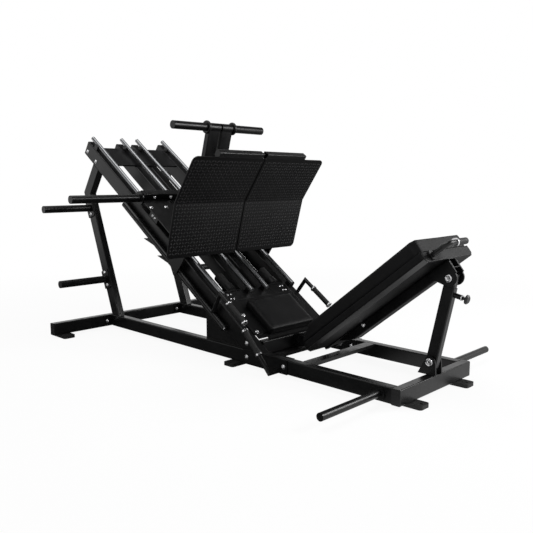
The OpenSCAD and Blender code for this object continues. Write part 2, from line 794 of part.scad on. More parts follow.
module carriage_deck() on_rail() {
  translate([deck_up, -deck_out, deck_n]) cube([deck_low - deck_up, deck_out - deck_in, deck_t]);
  translate([deck_up + beam_l / 2, -deck_out, deck_top + beam_h / 2])
    tube_y(deck_out - deck_in, beam_l, beam_h);
  translate([catch_tab[0], -catch_y - catch_t, deck_n])
    cube([deck_low - catch_tab[0], catch_y + catch_t - deck_out, deck_t]);
  translate([0, -catch_y - catch_t, 0]) plate_xz(catch_t)
    polygon([[catch_tab[0], deck_top], [catch_tab[1], deck_top], [catch_tab[1], deck_top - catch_side],
             [catch_tab[1] - 10, deck_top - catch_drop + 5], [catch_tab[1] - 25, deck_top - catch_drop],
             [catch_tab[0] + 30, deck_top - 0.74 * catch_drop], [catch_tab[0] + 10, deck_top - catch_side]]);
}

module left_carriage_deck() color(steel) carriage_deck();
module right_carriage_deck() color(steel) other_side() carriage_deck();

module bearing_blocks() on_rail() for (y = [-rail_y, -rod_inner_y], d = block_ds) difference() {
  translate([d - block_l / 2, y - block_w / 2, block_n]) cube([block_l, block_w, block_h]);
  translate([d - block_l, y, rod_n]) round_x(2 * block_l, bushing_d + 2 * fit);
}

module left_bearing_blocks() color(steel) bearing_blocks();
module right_bearing_blocks() color(steel) other_side() bearing_blocks();

module linear_bushings() on_rail() for (y = [-rail_y, -rod_inner_y], d = block_ds) difference() {
  translate([d - block_l / 2, y, rod_n]) round_x(block_l, bushing_d);
  translate([d - block_l, y, rod_n]) round_x(2 * block_l, rod_d + 2 * fit);
}

module left_linear_bushings() color(bright) linear_bushings();
module right_linear_bushings() color(bright) other_side() linear_bushings();

// Turned profile of the top bar: boss, stop ring with rounded rims and hollow horn.
module bar_profile() {
  bore_r = horn_d / 2 - horn_wall;
  translate([bore_r, 0]) square([boss_d / 2 - bore_r, boss_l + ring_l / 2]);
  translate([bore_r, boss_l]) square([horn_d / 2 - bore_r, bar_l - boss_l]);
  translate([0, bar_l - horn_wall]) square([horn_d / 2, horn_wall]);
  translate([bore_r, boss_l]) square([ring_d / 2 - ring_round - bore_r, ring_l]);
  translate([bore_r, boss_l + ring_round]) square([ring_d / 2 - bore_r, ring_l - 2 * ring_round]);
  for (z = [ring_round, ring_l - ring_round])
    translate([ring_d / 2 - ring_round, boss_l + z]) circle(ring_round);
}

// Post that leans up the slope to the boss of the top bar.
module weight_post() on_rail() translate([post_d + post_l / 2, 0, top_horn_n]) {
  reach = (top_horn_n - deck_top) / cos(post_lean) + cut_over;
  difference() {
    translate([0, -post_in - post_w / 2, 0]) rotate([0, -post_lean, 0])
      translate([0, 0, -reach]) tube_z(reach, post_l, post_w);
    translate([0, -far, 0]) round_y(2 * far, boss_d - 2 * weld);
    translate([0, 0, deck_top - top_horn_n]) below();
  }
  translate([0, weld - post_in, 0]) rotate([90, 0, 0]) rotate_extrude() bar_profile();
}

module left_weight_post() color(steel) weight_post();
module right_weight_post() color(steel) other_side() weight_post();

module side_horn() on_rail() translate([side_horn_d, -deck_out, side_horn_n]) {
  translate([0, -horn_flange_t, 0]) round_y(horn_flange_t, horn_flange_d);
  translate([0, -horn_flange_t, 0]) horn(side_horn_l);
}

module left_side_horn() color(steel) side_horn();
module right_side_horn() color(steel) other_side() side_horn();

// Web between a stay and the back of the foot plate's lower part.
module plate_web() {
  low = 1060;
  polygon([[stay_d - 1, low], [stay_d + (bend_n - low) * tan(plate_bend), low], [stay_d, bend_n],
           [stay_d - 1, bend_n]]);
}

module foot_plate_stay() on_rail() {
  for (y = stay_ys) {
    translate([stay_d - stay / 2, -y, deck_top]) tube_z(bar_n - deck_top, stay, stay);
    translate([0, -y - sheet_t / 2, 0]) plate_xz(sheet_t) plate_web();
  }
  translate([stay_d - stay / 2, -bar_out, bar_n + stay / 2]) tube_y(bar_out - bar_in, stay, stay);
  translate([stay_d - stay / 2, -bar_out - cap_t, bar_n + stay / 2]) rotate([-90, 0, 0])
    cap(stay, stay);
}

module left_foot_plate_stay() color(steel) foot_plate_stay();
module right_foot_plate_stay() color(steel) other_side() foot_plate_stay();

// Outline of a sheet from its outer lower corner, with its own corner radius on each side.
module sheet_outline(w, h, r_out, r_in) {
  translate([r_out, 0]) square([w - r_out - r_in, h]);
  translate([0, r_out]) square([w / 2, h - 2 * r_out]);
  translate([w / 2, r_in]) square([w / 2, h - 2 * r_in]);
  for (y = [r_out, h - r_out]) translate([r_out, y]) circle(r_out);
  for (y = [r_in, h - r_in]) translate([w - r_in, y]) circle(r_in);
}

// Bent sheet section that runs past both ends of the sheet.
module plate_section() {
  top = plate_upper_l + plate_over;
  low = (plate_lower_l + plate_over) * [sin(plate_bend), -cos(plate_bend)];
  polygon([[0, top], [plate_t, top], [plate_t, plate_t * tan(plate_bend / 2)],
           low + plate_t * [cos(plate_bend), sin(plate_bend)], low, [0, 0]]);
}

// Sheet with one bend, its lower part leaning towards the sitter.
module foot_plate() on_rail() translate([stay_d, -plate_w - plate_in, bend_n]) intersection() {
  drop = plate_lower_l * cos(plate_bend);
  translate([0, -plate_over, 0]) plate_xz(plate_w + 2 * plate_over) plate_section();
  translate([-plate_over, 0, -drop]) rotate([90, 0, 90]) linear_extrude(plate_lower_l)
    sheet_outline(plate_w, plate_upper_l + drop, plate_corner, plate_corner_in);
}

module left_foot_plate() color(steel) foot_plate();
module right_foot_plate() color(steel) other_side() foot_plate();

module hook(d) polygon([[d - 44, lock_n - hook_reach], [d - 38, lock_n - hook_reach],
                        [d + hook_l - 44, lock_n - 14], [d, lock_n - 14]]);

// Handle that rises from the lock tube, with a mitred corner to a bar down the slope.
module lock_handle() translate([handle_d, -lock_y, lock_n])
  rotate([atan2(handle_y - lock_y, handle_n - lock_n), 0, 0]) {
    rise = norm([handle_y - lock_y, handle_n - lock_n]);
    difference() {
      cylinder(h = rise + bar_d, d = bar_d);
      translate([0, 0, rise]) rotate([0, 45, 0]) above();
    }
    difference() {
      translate([-bar_d, 0, rise]) round_x(ring_b + collar_l - handle_d + bar_d, bar_d);
      translate([0, 0, rise]) rotate([0, 45, 0]) below();
    }
  }

module lock_tube() on_rail() {
  difference() {
    union() {
      translate([lock_up + seat_gap, -lock_y, lock_n])
        round_x(lock_low - lock_up - 2 * seat_gap, lock_tube_d);
      for (d = hook_ds) translate([0, -lock_y - hook_t / 2, 0]) plate_xz(hook_t) hook(d);
      lock_handle();
    }
    translate([lock_up - 1, -lock_y, lock_n])
      round_x(lock_low - lock_up + 2, lock_pin_d + 2 * fit);
  }
}

module left_lock_tube() color(steel) lock_tube();
module right_lock_tube() color(steel) other_side() lock_tube();

module lock_grip() on_rail() translate([ring_a, -handle_y, handle_n]) difference() {
  union() {
    round_x(ring_b + collar_l - ring_a, grip_d);
    for (x = [0, ring_b - ring_a]) translate([x, 0, 0]) round_x(collar_l, collar_d);
  }
  translate([-1, 0, 0]) round_x(ring_b + collar_l - ring_a + 2, bar_d + 2 * fit);
}

module left_lock_grip() color(rubber) lock_grip();
module right_lock_grip() color(rubber) other_side() lock_grip();

rear_cross_tube();
base_rear_tubes();
base_front_tubes();
front_cross_tube();
base_cross_ties();
frame_plates();
floor_feet();
left_rear_upright();
right_rear_upright();
left_rail();
right_rail();
top_cross_plate();
center_rails();
lower_cross_tube();
guide_rods();
rod_saddles();
bumper_brackets();
rubber_bumpers();
storage_horns();
side_pegs();
tube_end_caps();
seat_frame();
seat_pad();
pivot_brackets();
hinge_pins();
lock_tube_lugs();
grab_handles();
grab_handle_grips();
grab_handle_collars();
frame_bolts();
backrest_frame();
backrest_board();
backrest_pad();
strut_head_clevis();
strut_head_pin();
adjust_handle();
adjust_grip();
adjust_collar();
strut_outer_tube();
strut_inner_tube();
pop_pin_housing();
pop_pin();
left_carriage_deck();
right_carriage_deck();
left_bearing_blocks();
right_bearing_blocks();
left_linear_bushings();
right_linear_bushings();
left_weight_post();
right_weight_post();
left_side_horn();
right_side_horn();
left_foot_plate_stay();
right_foot_plate_stay();
left_foot_plate();
right_foot_plate();
left_lock_tube();
right_lock_tube();
left_lock_grip();
right_lock_grip();
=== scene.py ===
"""Looks of a leg press machine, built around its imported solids."""

import itertools
import math

import bmesh
import bpy
from mathutils import Matrix, Vector


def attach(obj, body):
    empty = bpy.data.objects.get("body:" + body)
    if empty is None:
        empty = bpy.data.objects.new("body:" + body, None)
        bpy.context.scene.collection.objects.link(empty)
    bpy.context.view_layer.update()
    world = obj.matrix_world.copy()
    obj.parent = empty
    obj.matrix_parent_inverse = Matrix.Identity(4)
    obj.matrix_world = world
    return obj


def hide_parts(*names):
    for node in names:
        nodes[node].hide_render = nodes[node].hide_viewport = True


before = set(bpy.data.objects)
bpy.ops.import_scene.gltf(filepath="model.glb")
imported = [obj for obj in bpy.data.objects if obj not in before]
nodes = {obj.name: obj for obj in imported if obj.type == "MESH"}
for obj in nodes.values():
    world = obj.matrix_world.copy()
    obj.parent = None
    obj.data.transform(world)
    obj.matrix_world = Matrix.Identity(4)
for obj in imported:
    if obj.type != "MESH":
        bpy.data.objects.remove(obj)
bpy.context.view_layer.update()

MM = 0.001
X_MID = 1118.1
RAIL_ANGLE = math.radians(35)
BACK_ANGLE = math.radians(38.3)
BACK_X = 1800
BACK_Z = 138
SIDES = (("left", -1), ("right", 1))

# Frames of the object, in millimetres: down the rails, up the backrest, and the floor.
TO_METRES = Matrix.Scale(MM, 4)
MACHINE = TO_METRES @ Matrix.Translation((-X_MID, 0, 0))
ON_RAIL = MACHINE @ Matrix.Rotation(RAIL_ANGLE, 4, "Y")
ON_BACK = MACHINE @ Matrix.Translation((BACK_X, 0, BACK_Z)) @ Matrix.Rotation(-BACK_ANGLE, 4, "Y")


# Materials

COAT_SPECULAR = 0.26
TREAD_SPECULAR = 0.18
HIGHLIGHT_SPECULAR = 0.8
RUBBER_SPECULAR = 0.3
VINYL_SPECULAR = 0.13

# Most of a noise texture lies between these two values
NOISE_LOW = 0.3
NOISE_HIGH = 0.7


def link_noise(tree, coords, scale, detail=4.0, rough=0.6):
    noise = tree.nodes.new("ShaderNodeTexNoise")
    noise.inputs["Scale"].default_value = scale
    noise.inputs["Detail"].default_value = detail
    noise.inputs["Roughness"].default_value = rough
    tree.links.new(coords, noise.inputs["Vector"])
    return noise.outputs["Fac"]


def link_ramp(tree, value, low, high, dark, light):
    ramp = tree.nodes.new("ShaderNodeValToRGB")
    ramp.color_ramp.elements[0].position = low
    ramp.color_ramp.elements[1].position = high
    ramp.color_ramp.elements[0].color = (*dark, 1)
    ramp.color_ramp.elements[1].color = (*light, 1)
    tree.links.new(value, ramp.inputs["Fac"])
    return ramp.outputs["Color"]


def link_range(tree, value, low, high):
    node = tree.nodes.new("ShaderNodeMapRange")
    node.inputs["From Min"].default_value = NOISE_LOW
    node.inputs["From Max"].default_value = NOISE_HIGH
    node.inputs["To Min"].default_value = low
    node.inputs["To Max"].default_value = high
    tree.links.new(value, node.inputs["Value"])
    return node.outputs["Result"]


def link_bump(tree, height, strength, distance, normal=None):
    bump = tree.nodes.new("ShaderNodeBump")
    bump.inputs["Strength"].default_value = strength
    bump.inputs["Distance"].default_value = distance
    tree.links.new(height, bump.inputs["Height"])
    if normal is not None:
        tree.links.new(normal, bump.inputs["Normal"])
    return bump.outputs["Normal"]


def start_material(name, metallic=0.0, specular=0.5):
    mat = bpy.data.materials.new(name)
    mat.use_nodes = True
    tree = mat.node_tree
    shader = tree.nodes["Principled BSDF"]
    shader.inputs["Metallic"].default_value = metallic
    shader.inputs["Specular IOR Level"].default_value = specular
    coords = tree.nodes.new("ShaderNodeTexCoord").outputs["Object"]
    return mat, tree, shader, coords


def stretch(tree, coords, scale, turn=0.0):
    """Coordinates turned about y and scaled, for grain that runs one way."""
    node = tree.nodes.new("ShaderNodeMapping")
    node.vector_type = "TEXTURE"
    node.inputs["Rotation"].default_value = (0, turn, 0)
    node.inputs["Scale"].default_value = scale
    tree.links.new(coords, node.inputs["Vector"])
    return node.outputs["Vector"]


def powder_coat(name, dark, light, rough, specular=COAT_SPECULAR):
    """Sprayed coat with a fine orange peel and faint handling marks."""
    mat, tree, shader, coords = start_material(name, specular=specular)
    patches = link_noise(tree, coords, 7, detail=6)
    colour = link_ramp(tree, patches, 0.35, 0.7, dark, light)
    tree.links.new(colour, shader.inputs["Base Color"])
    smears = link_noise(tree, stretch(tree, coords, (0.6, 0.2, 0.3)), 4, detail=5)
    tree.links.new(link_range(tree, smears, *rough), shader.inputs["Roughness"])
    peel = link_noise(tree, coords, 420, detail=2)
    tree.links.new(link_bump(tree, peel, 0.10, 0.0006), shader.inputs["Normal"])
    return mat


def ground_rod(name):
    """Hard steel rod with fine lines round it and oily patches along it."""
    mat, tree, shader, coords = start_material(name, metallic=1.0)
    lines = link_noise(tree, stretch(tree, coords, (0.002, 1, 1), RAIL_ANGLE), 3, detail=3)
    colour = link_ramp(tree, lines, 0.35, 0.7, (0.17, 0.173, 0.178), (0.25, 0.254, 0.26))
    tree.links.new(colour, shader.inputs["Base Color"])
    oil = link_noise(tree, stretch(tree, coords, (1, 0.1, 0.1), RAIL_ANGLE), 5, detail=4)
    tree.links.new(link_range(tree, oil, 0.22, 0.36), shader.inputs["Roughness"])
    tree.links.new(link_bump(tree, lines, 0.06, 0.0004), shader.inputs["Normal"])
    return mat


def bright_metal(name, dark, light, rough):
    mat, tree, shader, coords = start_material(name, metallic=1.0)
    haze = link_noise(tree, coords, 60, detail=5)
    tree.links.new(link_ramp(tree, haze, 0.3, 0.7, dark, light), shader.inputs["Base Color"])
    tree.links.new(link_range(tree, haze, *rough), shader.inputs["Roughness"])
    scuffs = link_noise(tree, coords, 900, detail=2)
    tree.links.new(link_bump(tree, scuffs, 0.04, 0.0003), shader.inputs["Normal"])
    return mat


def rubber_skin(name, dark, light, rough, grain, depth):
    mat, tree, shader, coords = start_material(name, specular=RUBBER_SPECULAR)
    dust = link_noise(tree, coords, 25, detail=7)
    tree.links.new(link_ramp(tree, dust, 0.35, 0.75, dark, light), shader.inputs["Base Color"])
    tree.links.new(link_range(tree, dust, *rough), shader.inputs["Roughness"])
    pores = link_noise(tree, coords, grain, detail=3)
    tree.links.new(link_bump(tree, pores, 0.35, depth), shader.inputs["Normal"])
    return mat


def vinyl_cover(name):
    """Coated upholstery with a leather grain and soft creases."""
    mat, tree, shader, coords = start_material(name, specular=VINYL_SPECULAR)
    wear = link_noise(tree, coords, 9, detail=6)
    colour = link_ramp(tree, wear, 0.35, 0.75, (0.0026, 0.0026, 0.0028), (0.0046, 0.0046, 0.0049))
    tree.links.new(colour, shader.inputs["Base Color"])
    tree.links.new(link_range(tree, wear, 0.42, 0.55), shader.inputs["Roughness"])
    cells = tree.nodes.new("ShaderNodeTexVoronoi")
    cells.feature = "DISTANCE_TO_EDGE"
    cells.inputs["Scale"].default_value = 480
    tree.links.new(coords, cells.inputs["Vector"])
    grain = link_bump(tree, cells.outputs["Distance"], 0.35, 0.0006)
    creases = link_noise(tree, coords, 38, detail=5)
    folds = link_bump(tree, creases, 0.12, 0.003, grain)
    tree.links.new(folds, shader.inputs["Normal"])
    return mat


coat = powder_coat("black_powder_coat", (0.0028, 0.0028, 0.0030), (0.0045, 0.0045, 0.0047),
                   (0.26, 0.38))
tread = powder_coat("black_tread_coat", (0.0018, 0.0018, 0.0020), (0.0030, 0.0030, 0.0032),
                    (0.28, 0.38), TREAD_SPECULAR)
# Painted highlight: the raised tread bars are coloured far lighter than the plate, where they catch
# light
bar_highlight_coat = powder_coat("tread_bar_painted_highlight", (0.022, 0.022, 0.0225), (0.032, 0.032, 0.0325), (0.30, 0.42),
                   TREAD_SPECULAR)
# Painted highlight: a lighter, glossier coat for the strips on the backrest's lower bevels
bevel_highlight = powder_coat("edge_trim", (0.0050, 0.0050, 0.0052), (0.0070, 0.0070, 0.0072), (0.28, 0.38),
                   HIGHLIGHT_SPECULAR)
rod = ground_rod("ground_rod_steel")
chrome = bright_metal("bright_plate", (0.60, 0.60, 0.61), (0.80, 0.80, 0.81), (0.12, 0.24))
rubber = rubber_skin("black_rubber", (0.005, 0.005, 0.005), (0.010, 0.010, 0.010), (0.50, 0.70),
                     grain=700, depth=0.0005)
plastic = rubber_skin("black_plastic", (0.005, 0.005, 0.0052), (0.009, 0.009, 0.0093), (0.34, 0.46),
                      grain=1100, depth=0.0003)
vinyl = vinyl_cover("black_vinyl")

SLOT_MATERIALS = {
    "black_steel": coat,
    "rod_steel": rod,
    "bright_steel": chrome,
    "rubber": rubber,
    "vinyl": vinyl,
    "black_plastic": plastic,
    "tread_plate": tread,
}

for node in nodes.values():
    for place in node.material_slots:
        slot_name = place.material.name.split(".")[0]
        if slot_name not in SLOT_MATERIALS:
            raise SystemExit(f"{node.name} has an unknown finish {slot_name}")
        place.material = SLOT_MATERIALS[slot_name]


# Mesh helpers

def add_mesh(name, bm, place, mat, body, smooth=True):
    bmesh.ops.transform(bm, matrix=place, verts=bm.verts)
    if place.determinant() < 0:
        bmesh.ops.reverse_faces(bm, faces=bm.faces)
    bmesh.ops.recalc_face_normals(bm, faces=bm.faces)
    mesh = bpy.data.meshes.new(name)
    bm.to_mesh(mesh)
    bm.free()
    mesh.materials.append(mat)
    mesh.polygons.foreach_set("use_smooth", [smooth] * len(mesh.polygons))
    obj = bpy.data.objects.new(name, mesh)
    bpy.context.scene.collection.objects.link(obj)
    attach(obj, body)
    return obj


def axes(origin, normal):
    """Matrix whose z runs along normal from origin."""
    turn = Vector((0, 0, 1)).rotation_difference(Vector(normal).normalized())
    return Matrix.Translation(Vector(origin)) @ turn.to_matrix().to_4x4()


HEX = math.pi / 3


def hex_reach(turn):
    """Distance to the edge of a hexagon whose flats are one from its middle."""
    return 1 / math.cos(turn % HEX - HEX / 2)


def add_lathe(bm, place, profile, steps=24, hex_from=None):
    """Turned shape from (radius, height) points, closed at both ends, six-sided from point hex_from."""
    rings = []
    for index, (radius, height) in enumerate(profile):
        ring = []
        for k in range(steps):
            turn = 2 * math.pi * k / steps
            reach = radius
            if hex_from is not None and index >= hex_from:
                reach *= hex_reach(turn)
            point = Vector((reach * math.cos(turn), reach * math.sin(turn), height))
            ring.append(bm.verts.new(place @ point))
        rings.append(ring)
    for low, high in zip(rings, rings[1:]):
        for k in range(steps):
            bm.faces.new((low[k - 1], low[k], high[k], high[k - 1]))
    bm.faces.new(rings[0][::-1])
    bm.faces.new(rings[-1])


# Outlines (radius, height) of a washer and a button head, as shares of the head's radius
WASHER = ((1.45, 0), (1.45, 0.18), (1.36, 0.24), (0.9, 0.24))
BUTTON_HEAD = ((1.0, 0.0), (1.0, 0.34), (0.93, 0.52), (0.78, 0.7),
               (0.62, 0.8), (0.44, 0.82), (0.42, 0.8), (0.42, 0.35))
SOCKET_FROM = 5


def add_bolt(bm, origin, normal, size, washer=True):
    """Button head screw with a hex socket, on a washer."""
    place = axes(origin, normal)
    if washer:
        add_lathe(bm, place, [(r * size, h * size) for r, h in WASHER])
    add_lathe(bm, place, [(r * size, h * size) for r, h in BUTTON_HEAD], hex_from=SOCKET_FROM)


# Cushions: boxy shells of even mesh, swelled a little by cloth simulation

CORNER_STEPS = 6
EDGE_STEPS = (26, 6, 26, 6)
CAP_SHARES = (0.9, 0.7, 0.5, 0.3, 0.12)
SHELL_STEP = 12
SWELL_PRESSURE = 4
SWELL_QUALITY = 5
SWELL_FRAMES = 20


def soft_ring(half, low, high, soft_low, soft_high):
    """Points (y, z) round a rectangle with rounded upper corners and bevelled lower ones."""
    corners = ((1, high - soft_high, soft_high), (-1, high - soft_high, soft_high),
               (-1, low + soft_low, soft_low), (1, low + soft_low, soft_low))
    spots = []
    for k, (side, z, soft) in enumerate(corners):
        middle = Vector((side * (half - soft), z))
        arc = []
        for j in range(CORNER_STEPS):
            turn = math.pi / 2 * (k + j / (CORNER_STEPS - 1))
            arc.append(middle + soft * Vector((math.cos(turn), math.sin(turn))))
        lower = k > 1
        if lower:
            arc = [arc[0].lerp(arc[-1], j / (CORNER_STEPS - 1)) for j in range(CORNER_STEPS)]
        spots += arc
    ring = []
    for k, spot in enumerate(spots):
        ring.append(spot)
        if k % CORNER_STEPS == CORNER_STEPS - 1:
            ahead = spots[(k + 1) % len(spots)]
            count = EDGE_STEPS[k // CORNER_STEPS]
            ring += [spot.lerp(ahead, j / count) for j in range(1, count)]
    return ring


def shell(keys, step):
    """Closed mesh through sections (x, half width, low, high, lower rounding, upper rounding)."""
    sections = []
    for first, last in zip(keys, keys[1:]):
        count = max(1, round((last[0] - first[0]) / step))
        for j in range(count):
            sections.append([a + (b - a) * j / count for a, b in zip(first, last)])
    sections.append(list(keys[-1]))
    lines = []
    for x, *size in sections:
        lines.append([Vector((x, y, z)) for y, z in soft_ring(*size)])
    for end in (0, -1):
        middle = Vector((sections[end][0], 0, (sections[end][2] + sections[end][3]) / 2))
        edge = lines[end]
        for share in CAP_SHARES:
            inner = [middle.lerp(spot, share) for spot in edge]
            if end == 0:
                lines.insert(0, inner)
            else:
                lines.append(inner)
    bm = bmesh.new()
    rings = [[bm.verts.new(spot) for spot in line] for line in lines]
    for low, high in zip(rings, rings[1:]):
        for k in range(len(low)):
            bm.faces.new((low[k - 1], low[k], high[k], high[k - 1]))
    bm.faces.new(rings[0][::-1])
    bm.faces.new(rings[-1])
    return bm


def swollen(name, node, keys, floor_z, body, place, cap):
    """Shell blown up by pressure, each point by cap at most, and kept above floor_z of its frame."""
    bm = shell(keys, SHELL_STEP)
    obj = add_mesh(name, bm, place, vinyl, body)
    start = [vert.co.copy() for vert in obj.data.vertices]
    scene = bpy.context.scene
    cloth = obj.modifiers.new("swell", "CLOTH")
    cloth.settings.use_pressure = True
    cloth.settings.uniform_pressure_force = SWELL_PRESSURE
    cloth.settings.effector_weights.gravity = 0
    cloth.settings.quality = SWELL_QUALITY
    cloth.point_cache.frame_start = 1
    cloth.point_cache.frame_end = SWELL_FRAMES
    for step in range(1, SWELL_FRAMES + 1):
        scene.frame_set(step)
    graph = bpy.context.evaluated_depsgraph_get()
    done = bpy.data.meshes.new_from_object(obj.evaluated_get(graph))
    obj.modifiers.clear()
    scene.frame_set(1)
    obj.data = done
    to_floor = place.inverted()
    for vert, spot in zip(obj.data.vertices, start):
        move = vert.co - spot
        if move.length > cap:
            move *= cap / move.length
        local = to_floor @ (spot + move)
        local.z = max(local.z, floor_z)
        vert.co = place @ local
    obj.data.polygons.foreach_set("use_smooth", [True] * len(obj.data.polygons))
    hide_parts(node)


SEAT_BOTTOM = 957.3
SEAT_TOP = 999
SEAT_HALF = 186
SEAT_SOFT = (4, 8)
SEAT_KEYS = (
    (820, SEAT_HALF - 10, SEAT_BOTTOM, SEAT_TOP - 6, *SEAT_SOFT),
    (823, SEAT_HALF - 4, SEAT_BOTTOM, SEAT_TOP - 2, *SEAT_SOFT),
    (830, SEAT_HALF, SEAT_BOTTOM, SEAT_TOP, *SEAT_SOFT),
    (1064, SEAT_HALF, SEAT_BOTTOM, SEAT_TOP, *SEAT_SOFT),
    (1071, SEAT_HALF - 4, SEAT_BOTTOM, SEAT_TOP - 2, *SEAT_SOFT),
    (1074, SEAT_HALF - 10, SEAT_BOTTOM, SEAT_TOP - 6, *SEAT_SOFT),
)
FOAM_BOTTOM = 81.3
FOAM_TOP = 149
BACK_HALF = 225
FOAM_SOFT = (3, 8)
FOAM_KEYS = (
    (-43, BACK_HALF - 11, FOAM_BOTTOM, FOAM_TOP - 59, 3, 4),
    (-40, BACK_HALF - 4, FOAM_BOTTOM, FOAM_TOP - 56, 3, 5),
    (-33, BACK_HALF, FOAM_BOTTOM, FOAM_TOP - 51, 3, 6),
    (46, BACK_HALF, FOAM_BOTTOM, FOAM_TOP - 4, *FOAM_SOFT),
    (58, BACK_HALF, FOAM_BOTTOM, FOAM_TOP, *FOAM_SOFT),
    (822, BACK_HALF, FOAM_BOTTOM, FOAM_TOP, *FOAM_SOFT),
    (841, BACK_HALF - 19, FOAM_BOTTOM, FOAM_TOP, *FOAM_SOFT),
    (844, BACK_HALF - 23, FOAM_BOTTOM + 2, FOAM_TOP - 2, *FOAM_SOFT),
)
BOARD_BOTTOM = 25.3
BOARD_TOP = 80.7
BOARD_BEVEL = 18
BOARD_KEYS = (
    (-51, BACK_HALF - 15, BOARD_BOTTOM + 14, BOARD_TOP, BOARD_BEVEL - 6, 3),
    (-46, BACK_HALF - 6, BOARD_BOTTOM + 5, BOARD_TOP, BOARD_BEVEL - 3, 3),
    (-36, BACK_HALF, BOARD_BOTTOM, BOARD_TOP, BOARD_BEVEL, 3),
    (842, BACK_HALF, BOARD_BOTTOM, BOARD_TOP, BOARD_BEVEL, 3),
    (844.5, BACK_HALF - 2, BOARD_BOTTOM + 2, BOARD_TOP - 1, BOARD_BEVEL - 2, 3),
)
swollen("seat_cushion", "seat_pad", SEAT_KEYS, SEAT_BOTTOM, "frame", ON_RAIL,
        cap=0.004)
swollen("backrest_cushion", "backrest_pad", FOAM_KEYS, FOAM_BOTTOM, "backrest", ON_BACK,
        cap=0.003)
swollen("backrest_base", "backrest_board", BOARD_KEYS, BOARD_BOTTOM, "backrest", ON_BACK,
        cap=0.002)


# Thin sheets between the rails: one under the seat, and a strip along the inside of each rail

SHEET_FROM = 762
SHEET_TO = 1079
SHEET_HALF = 270
SHEET_END = 1112
SHEET_END_HALF = 200
SHEET_LOW = 947
SHEET_TOP = 950.5
STRIP_FROM = 200
STRIP_TO = 690
STRIP_IN = 186
STRIP_OUT = 274.5
STRIP_LOW = 851.2
STRIP_TOP = 853.7


def add_box(bm, low, high):
    corners = [bm.verts.new(spot) for spot in itertools.product(*zip(low, high))]
    for quad in ((0, 1, 3, 2), (4, 6, 7, 5), (0, 4, 5, 1), (2, 3, 7, 6), (0, 2, 6, 4), (1, 5, 7, 3)):
        bm.faces.new([corners[k] for k in quad])


def add_copy(bm, other):
    """Adds another mesh to bm and frees it."""
    spots = {vert: bm.verts.new(vert.co) for vert in other.verts}
    for face in other.faces:
        bm.faces.new([spots[vert] for vert in face.verts])
    other.free()


def add_sheets():
    bm = bmesh.new()
    add_box(bm, (SHEET_FROM, -SHEET_HALF, SHEET_LOW), (SHEET_TO, SHEET_HALF, SHEET_TOP))
    add_box(bm, (SHEET_TO, -SHEET_END_HALF, SHEET_LOW), (SHEET_END, SHEET_END_HALF, SHEET_TOP))
    for low_y, high_y in ((-STRIP_OUT, -STRIP_IN), (STRIP_IN, STRIP_OUT)):
        add_box(bm, (STRIP_FROM, low_y, STRIP_LOW), (STRIP_TO, high_y, STRIP_TOP))
    add_mesh("rail_sheets", bm, ON_RAIL, coat, "frame", smooth=False)


add_sheets()


# Lighter, glossier strips on the lower bevels of the backrest's base: a painted highlight where those
# edges catch light

HIGHLIGHT_FROM = -34
HIGHLIGHT_TO = 841
HIGHLIGHT_W = 25
HIGHLIGHT_T = 2.4
BEVEL_MID = BOARD_BEVEL / 2
HIGHLIGHT_SUNK = 0.5
BEVEL_TURN = math.radians(135)


def add_bevel_highlights():
    bm = bmesh.new()
    for sign in (-1, 1):
        strip = bmesh.new()
        add_box(strip, (HIGHLIGHT_FROM, -HIGHLIGHT_W / 2, -HIGHLIGHT_SUNK), (HIGHLIGHT_TO, HIGHLIGHT_W / 2, HIGHLIGHT_T))
        middle = Matrix.Translation((0, sign * (BACK_HALF - BEVEL_MID), BOARD_BOTTOM + BEVEL_MID))
        tilt = Matrix.Rotation(-sign * BEVEL_TURN, 4, "X")
        bmesh.ops.transform(strip, matrix=middle @ tilt, verts=strip.verts)
        add_copy(bm, strip)
    add_mesh("backrest_painted_highlight", bm, ON_BACK, bevel_highlight, "backrest", smooth=False)


add_bevel_highlights()


# Bolts on the frame, in place of the plain ones, and on the parts that move

RAIL_FACE = 330
RAIL_INNER = 275
RAIL_BOLTS = ((-918, 887), (-791, 886), (1061, 909))
RAIL_INNER_BOLT = (-797, 889)
SPLICE_BOLTS = (1396, 1676)
SPLICE_FACE = 336
SPLICE_INNER = 274
SPLICE_INNER_BOLTS = (1401, 1485, 1585, 1669)
BASE_MID = 60
REAR_FLANGE = 6
REAR_FLANGE_YS = (252, 368)
FLANGE_FACE = 338
STORAGE_ZS = (351, 849)
FLANGE_BOLT = 46
UPRIGHT_FOOT = (50, 100)
UPRIGHT_LEAN = math.radians(-20.72)
SEAT_PLATE_TOP = 957
SEAT_BOLTS = ((895, 252), (1033, 252))
LOW_TUBE_TOP = 951
LOW_TUBE_BOLTS = ((716, 214), (716, 240), (752, 214), (752, 240))
DECK_TOP = 1011
DECK_BOLTS = ((-80, 215), (-80, 332))
BLOCK_FACE = 337.5
BLOCK_BOLTS = ((-34, 979), (-6, 979), (236, 979), (264, 979))
BEAM_FRONT = -165
BEAM_MID = 1028
BEAM_YS = (133, 262)
BACK_TUBE_FACE = 30
BACK_BOLT = (224, 12)
BOLT = 9
SCREW = 6.5


